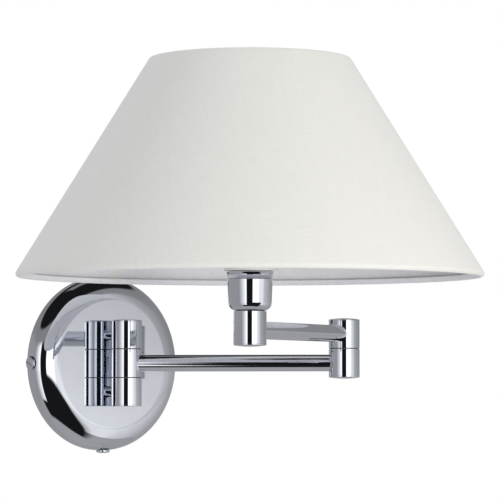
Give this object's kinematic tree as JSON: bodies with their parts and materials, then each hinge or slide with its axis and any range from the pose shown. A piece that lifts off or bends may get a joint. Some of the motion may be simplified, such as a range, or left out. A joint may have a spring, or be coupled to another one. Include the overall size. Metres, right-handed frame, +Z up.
{
  "type": "swing arm wall sconce",
  "caption": "Chrome wall lamp with a round plate, two tubular arms that fold on hinge knuckles, and a white tapered fabric shade over an upright lampholder.",
  "frame": {"origin": "centre of the wall bracket's back face, on the wall, level with the wall hinge's middle section", "axes": "+Z up, -Y out from the wall, +X to the right as the lamp is seen from the room"},
  "size_m": [0.2995, 0.3609, 0.2569],
  "materials": {
    "chrome": "polished chrome plate",
    "zinc": "zinc-plated steel",
    "brass": "plain turned brass",
    "shade_fabric": "fine white woven fabric on a stiff liner, rolled hems",
    "white_wire": "white powder-coated wire",
    "porcelain": "glazed ceramic or moulded insulator",
    "nylon": "black nylon",
    "rubber": "moulded black rubber",
    "lead_sheath": "white flexible sheath",
    "opal_glass": "opal glass"
  },
  "bodies": {
    "wall_base": {"wall_bracket": "zinc", "backplate": "chrome", "side_screw_right": "chrome", "side_screw_bottom": "chrome", "side_screw_left": "chrome", "side_screw_top": "chrome", "stem_lower": "chrome", "stem_upper": "chrome", "stem_washer_lower": "zinc", "stem_washer_upper": "zinc", "stem_nut_lower": "brass", "stem_nut_upper": "brass", "terminal_block": "porcelain", "earth_screw": "brass", "cable_grommet": "rubber", "lead_wall": "lead_sheath", "wall_knuckle_top": "chrome", "wall_knuckle_bottom": "chrome", "wall_knuckle_cap_top": "chrome", "wall_knuckle_cap_bottom": "chrome", "wall_pivot_tube": "zinc", "wall_washer_lower": "nylon", "wall_washer_upper": "nylon"},
    "arm_1": {"wall_knuckle_middle": "chrome", "arm_1_tube": "chrome", "lead_arm_1": "lead_sheath", "elbow_lower": "chrome", "elbow_cap_bottom": "chrome", "elbow_pivot_tube": "zinc", "elbow_washer": "nylon"},
    "arm_2": {"elbow_upper": "chrome", "elbow_cap_top": "chrome", "arm_2_tube": "chrome", "lead_arm_2": "lead_sheath", "neck": "chrome", "neck_cap": "chrome", "neck_nipple": "brass", "socket_cup": "chrome", "cup_nut": "brass", "cup_collar": "chrome", "lampholder_body": "porcelain", "lampholder_shell": "brass", "lampholder_contact": "brass", "bulb_cap": "zinc", "bulb_glass": "opal_glass", "shade_top_wire": "white_wire", "shade_fitter_ring": "white_wire", "shade_spoke_1": "white_wire", "shade_spoke_2": "white_wire", "shade_spoke_3": "white_wire", "shade_ring_nut": "porcelain", "shade_cover": "shade_fabric", "shade_bottom_wire": "white_wire"}
  },
  "joints": [
    {"name": "wall_swing", "type": "hinge", "parent": "wall_base", "child": "arm_1", "pos_m": [0, -0.0336, 0], "axis": [0, 0, -1], "range_deg": [-46, 44]},
    {"name": "elbow_swing", "type": "hinge", "parent": "arm_1", "child": "arm_2", "pos_m": [0.10524, -0.14258, 0], "axis": [0, 0, -1], "range_deg": [-197.1, 5.9]}
  ]
}
